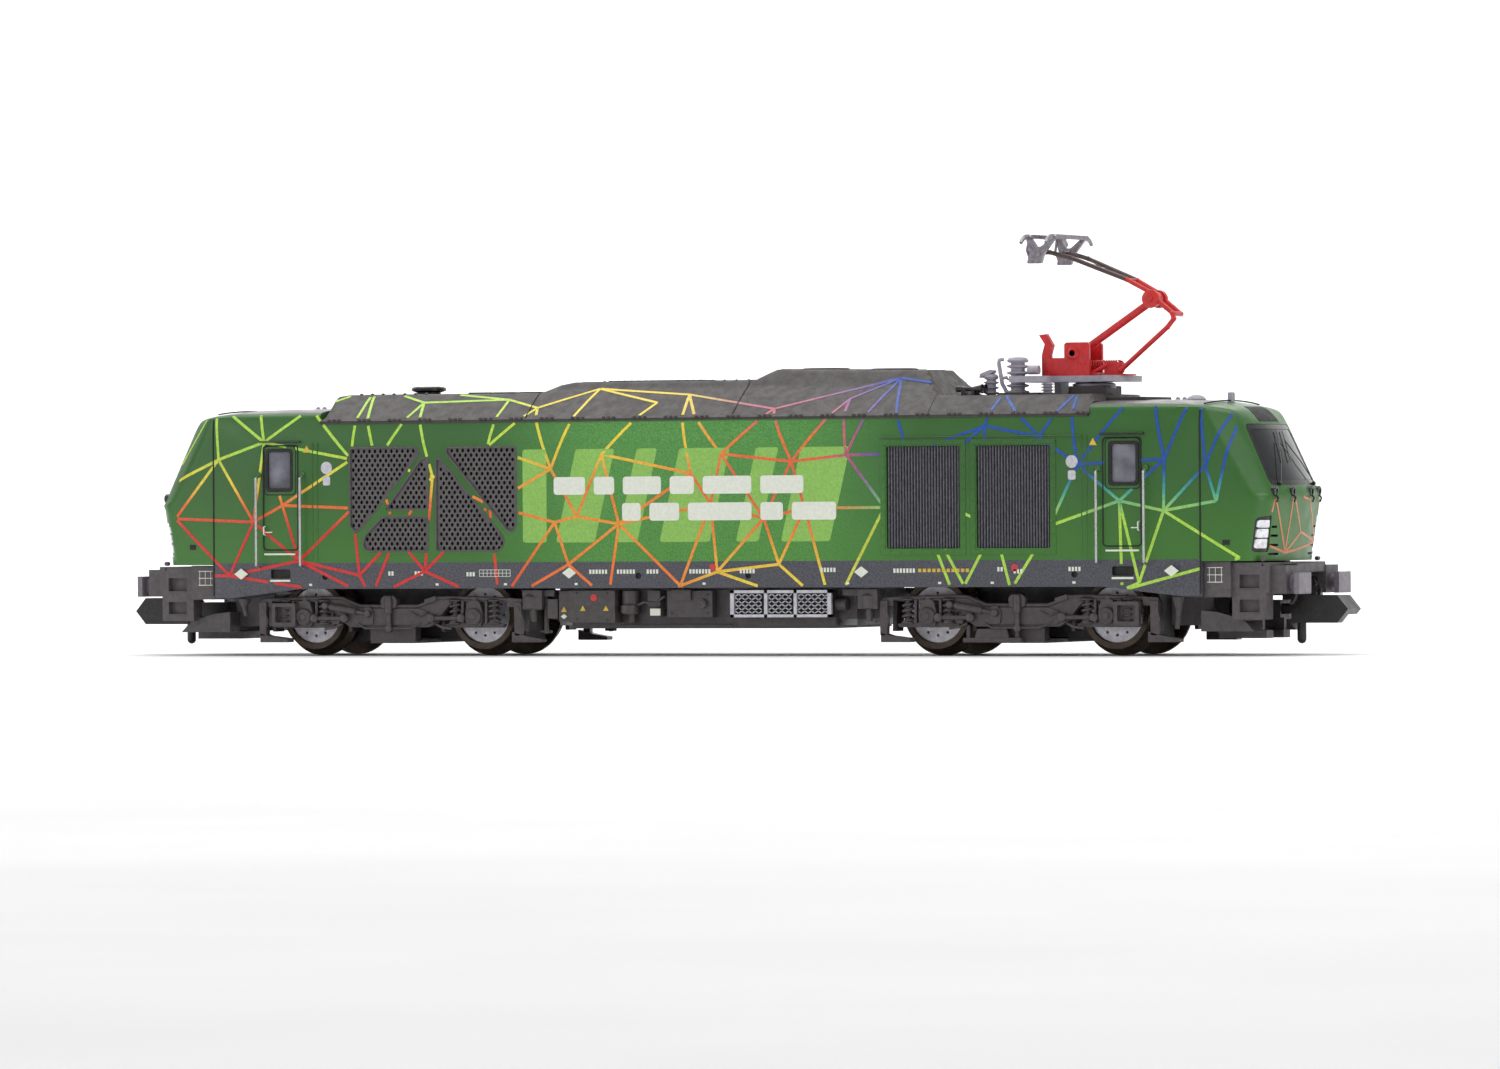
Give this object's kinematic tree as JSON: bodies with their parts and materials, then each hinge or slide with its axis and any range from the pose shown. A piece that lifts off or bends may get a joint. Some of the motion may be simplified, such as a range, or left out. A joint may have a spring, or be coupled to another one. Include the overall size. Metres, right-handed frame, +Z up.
{
  "type": "model locomotive",
  "caption": "Scale model of a long hood-roofed electric locomotive with a raised single-arm pantograph, two driven four-wheel bogies, a printed side pattern and box couplers.",
  "frame": {"origin": "on the centre line half way between the ends, at the bottom of the wheel flanges", "axes": "+X along the locomotive towards the pantograph end, +Z up, -Y towards the side seen in the picture"},
  "size_m": [0.1308, 0.02, 0.0408],
  "materials": {
    "chassis_zinc": "die-cast, tumbled",
    "underfloor_plastic": "matt moulded",
    "silver_print": "satin silver print",
    "body_paint": "satin paint and print",
    "hood_paint": "matt paint",
    "deck_paint": "matt paint",
    "windscreen_clear": "clear with black surround",
    "window_clear": "clear",
    "mesh_plastic": "satin",
    "radiator_plastic": "satin",
    "handrail_wire": "drawn wire",
    "beam_plastic": "matt moulded",
    "buffer_plastic": "satin moulded",
    "lamp_clear": "clear with silver print",
    "light_guide_clear": "clear",
    "circuit_laminate": "solder mask",
    "decoder_laminate": "solder mask",
    "speaker_plastic": "moulded",
    "motor_steel": "zinc plated",
    "brush_plastic": "moulded",
    "insulator_plastic": "satin moulded",
    "roof_black": "gloss moulded",
    "panto_grey": "satin",
    "panto_red": "satin",
    "head_metal": "blackened",
    "coupler_plastic": "matt moulded",
    "armature_copper": "wound",
    "flywheel_brass": "turned",
    "drive_plastic": "moulded",
    "bogie_plastic": "matt moulded",
    "gearbox_plastic": "moulded",
    "contact_bronze": "spring strip",
    "worm_brass": "cut",
    "gear_plastic": "moulded",
    "axle_steel": "turned",
    "wheel_metal": "turned, nickel plated"
  },
  "bodies": {
    "body": {"chassis_frame": "chassis_zinc", "underfloor_tank": "underfloor_plastic", "battery_box_grilles": "silver_print", "body_shell": "body_paint", "roof_cover": "hood_paint", "equipment_deck": "deck_paint", "windscreens": "windscreen_clear", "door_windows": "window_clear", "mesh_grilles": "mesh_plastic", "radiator_grilles": "radiator_plastic", "handrails": "handrail_wire", "buffer_beams": "beam_plastic", "buffers": "buffer_plastic", "headlamps": "lamp_clear", "light_guides": "light_guide_clear", "circuit_board": "circuit_laminate", "decoder_board": "decoder_laminate", "loudspeaker": "speaker_plastic", "motor_can": "motor_steel", "brush_holder": "brush_plastic", "roof_insulators": "insulator_plastic", "roof_horns": "roof_black", "pantograph_base": "panto_grey", "pantograph_channel": "panto_red", "lift_spring": "panto_red"},
    "lower_arm": {"lower_arm": "panto_red"},
    "upper_arm": {"upper_arm": "panto_red"},
    "pantograph_head": {"pantograph_head": "head_metal"},
    "thrust_rod": {"thrust_rod": "panto_red"},
    "pocket_front": {"coupler_pocket_front": "coupler_plastic"},
    "pocket_rear": {"coupler_pocket_rear": "coupler_plastic"},
    "coupler_front": {"coupler_front": "coupler_plastic"},
    "coupler_rear": {"coupler_rear": "coupler_plastic"},
    "drive": {"motor_armature": "armature_copper", "flywheels": "flywheel_brass"},
    "cardan_front": {"cardan_front": "drive_plastic"},
    "cardan_rear": {"cardan_rear": "drive_plastic"},
    "bogie_front": {"bogie_frame_front": "bogie_plastic", "gearbox_front": "gearbox_plastic", "pickups_front": "contact_bronze"},
    "bogie_rear": {"bogie_frame_rear": "bogie_plastic", "gearbox_rear": "gearbox_plastic", "pickups_rear": "contact_bronze"},
    "worm_front": {"worm_front": "worm_brass"},
    "worm_rear": {"worm_rear": "worm_brass"},
    "worm_gear_front": {"worm_gear_front": "gear_plastic"},
    "worm_gear_rear": {"worm_gear_rear": "gear_plastic"},
    "idler_front_outer": {"idler_front_outer": "gear_plastic"},
    "idler_front_inner": {"idler_front_inner": "gear_plastic"},
    "idler_rear_inner": {"idler_rear_inner": "gear_plastic"},
    "idler_rear_outer": {"idler_rear_outer": "gear_plastic"},
    "wheelset_1": {"axle_1": "axle_steel", "wheels_1": "wheel_metal"},
    "wheelset_2": {"axle_2": "axle_steel", "wheels_2": "wheel_metal"},
    "wheelset_3": {"axle_3": "axle_steel", "wheels_3": "wheel_metal"},
    "wheelset_4": {"axle_4": "axle_steel", "wheels_4": "wheel_metal"}
  },
  "joints": [
    {"name": "pantograph_lift", "type": "hinge", "parent": "body", "child": "lower_arm", "pos_m": [0.0372, 0, 0.0293], "axis": [0, -1, 0], "range_deg": [-22, 20]},
    {"name": "pantograph_knee", "type": "hinge", "parent": "lower_arm", "child": "upper_arm", "pos_m": [0.04506, 0, 0.03446], "axis": [0, -1, 0], "range_deg": [-40, 44]},
    {"name": "head_level", "type": "hinge", "parent": "upper_arm", "child": "pantograph_head", "pos_m": [0.03465, 0, 0.0391], "axis": [0, -1, 0], "range_deg": [-22, 20]},
    {"name": "thrust_rod_swing", "type": "hinge", "parent": "body", "child": "thrust_rod", "pos_m": [0.0419, 0, 0.0276], "axis": [0, -1, 0], "range_deg": [-26, 24]},
    {"name": "coupler_swing_front", "type": "hinge", "parent": "body", "child": "pocket_front", "pos_m": [0.0542, 0, 0.0044], "axis": [0, 0, 1], "range_deg": [-8, 8]},
    {"name": "coupler_lift_front", "type": "hinge", "parent": "pocket_front", "child": "coupler_front", "pos_m": [0.0569, 0, 0.00445], "axis": [0, -1, 0], "range_deg": [0, 5]},
    {"name": "bogie_yaw_front", "type": "hinge", "parent": "body", "child": "bogie_front", "pos_m": [0.03375, 0, 0.009], "axis": [0, 0, 1], "range_deg": [-10, 10]},
    {"name": "coupler_swing_rear", "type": "hinge", "parent": "body", "child": "pocket_rear", "pos_m": [-0.0542, 0, 0.0044], "axis": [0, 0, 1], "range_deg": [-8, 8]},
    {"name": "coupler_lift_rear", "type": "hinge", "parent": "pocket_rear", "child": "coupler_rear", "pos_m": [-0.0569, 0, 0.00445], "axis": [0, 1, 0], "range_deg": [0, 5]},
    {"name": "bogie_yaw_rear", "type": "hinge", "parent": "body", "child": "bogie_rear", "pos_m": [-0.03375, 0, 0.009], "axis": [0, 0, 1], "range_deg": [-10, 10]},
    {"name": "motor_spin", "type": "hinge", "parent": "body", "child": "drive", "pos_m": [0, 0, 0.0132], "axis": [1, 0, 0], "continuous": true},
    {"name": "cardan_front_spin", "type": "hinge", "parent": "body", "child": "cardan_front", "pos_m": [0.022, 0, 0.0132], "axis": [1, 0, 0], "continuous": true},
    {"name": "worm_front_spin", "type": "hinge", "parent": "bogie_front", "child": "worm_front", "pos_m": [0.03375, 0, 0.0132], "axis": [1, 0, 0], "continuous": true},
    {"name": "worm_gear_front_spin", "type": "hinge", "parent": "bogie_front", "child": "worm_gear_front", "pos_m": [0.03375, 0, 0.0096], "axis": [0, 1, 0], "continuous": true},
    {"name": "idler_front_outer_spin", "type": "hinge", "parent": "bogie_front", "child": "idler_front_outer", "pos_m": [0.03844, 0, 0.00682], "axis": [0, 1, 0], "continuous": true},
    {"name": "idler_front_inner_spin", "type": "hinge", "parent": "bogie_front", "child": "idler_front_inner", "pos_m": [0.02906, 0, 0.00682], "axis": [0, 1, 0], "continuous": true},
    {"name": "cardan_rear_spin", "type": "hinge", "parent": "body", "child": "cardan_rear", "pos_m": [-0.022, 0, 0.0132], "axis": [1, 0, 0], "continuous": true},
    {"name": "worm_rear_spin", "type": "hinge", "parent": "bogie_rear", "child": "worm_rear", "pos_m": [-0.03375, 0, 0.0132], "axis": [1, 0, 0], "continuous": true},
    {"name": "worm_gear_rear_spin", "type": "hinge", "parent": "bogie_rear", "child": "worm_gear_rear", "pos_m": [-0.03375, 0, 0.0096], "axis": [0, 1, 0], "continuous": true},
    {"name": "idler_rear_outer_spin", "type": "hinge", "parent": "bogie_rear", "child": "idler_rear_outer", "pos_m": [-0.03844, 0, 0.00682], "axis": [0, 1, 0], "continuous": true},
    {"name": "idler_rear_inner_spin", "type": "hinge", "parent": "bogie_rear", "child": "idler_rear_inner", "pos_m": [-0.02906, 0, 0.00682], "axis": [0, 1, 0], "continuous": true},
    {"name": "wheelset_1_spin", "type": "hinge", "parent": "bogie_rear", "child": "wheelset_1", "pos_m": [-0.04312, 0, 0.00404], "axis": [0, 1, 0], "continuous": true},
    {"name": "wheelset_2_spin", "type": "hinge", "parent": "bogie_rear", "child": "wheelset_2", "pos_m": [-0.02438, 0, 0.00404], "axis": [0, 1, 0], "continuous": true},
    {"name": "wheelset_3_spin", "type": "hinge", "parent": "bogie_front", "child": "wheelset_3", "pos_m": [0.02438, 0, 0.00404], "axis": [0, 1, 0], "continuous": true},
    {"name": "wheelset_4_spin", "type": "hinge", "parent": "bogie_front", "child": "wheelset_4", "pos_m": [0.04312, 0, 0.00404], "axis": [0, 1, 0], "continuous": true}
  ],
  "couplings": [
    {"joint": "pantograph_knee", "follows": "pantograph_lift", "ratio": -1.92},
    {"joint": "head_level", "follows": "pantograph_lift", "ratio": 0.92},
    {"joint": "thrust_rod_swing", "follows": "pantograph_lift", "ratio": 1.08},
    {"joint": "cardan_front_spin", "follows": "motor_spin", "ratio": 1},
    {"joint": "worm_front_spin", "follows": "motor_spin", "ratio": 1},
    {"joint": "worm_gear_front_spin", "follows": "motor_spin", "ratio": 0.05},
    {"joint": "idler_front_outer_spin", "follows": "motor_spin", "ratio": -0.033333},
    {"joint": "idler_front_inner_spin", "follows": "motor_spin", "ratio": -0.033333},
    {"joint": "cardan_rear_spin", "follows": "motor_spin", "ratio": 1},
    {"joint": "worm_rear_spin", "follows": "motor_spin", "ratio": 1},
    {"joint": "worm_gear_rear_spin", "follows": "motor_spin", "ratio": 0.05},
    {"joint": "idler_rear_outer_spin", "follows": "motor_spin", "ratio": -0.033333},
    {"joint": "idler_rear_inner_spin", "follows": "motor_spin", "ratio": -0.033333},
    {"joint": "wheelset_1_spin", "follows": "motor_spin", "ratio": 0.05},
    {"joint": "wheelset_2_spin", "follows": "motor_spin", "ratio": 0.05},
    {"joint": "wheelset_3_spin", "follows": "motor_spin", "ratio": 0.05},
    {"joint": "wheelset_4_spin", "follows": "motor_spin", "ratio": 0.05}
  ]
}
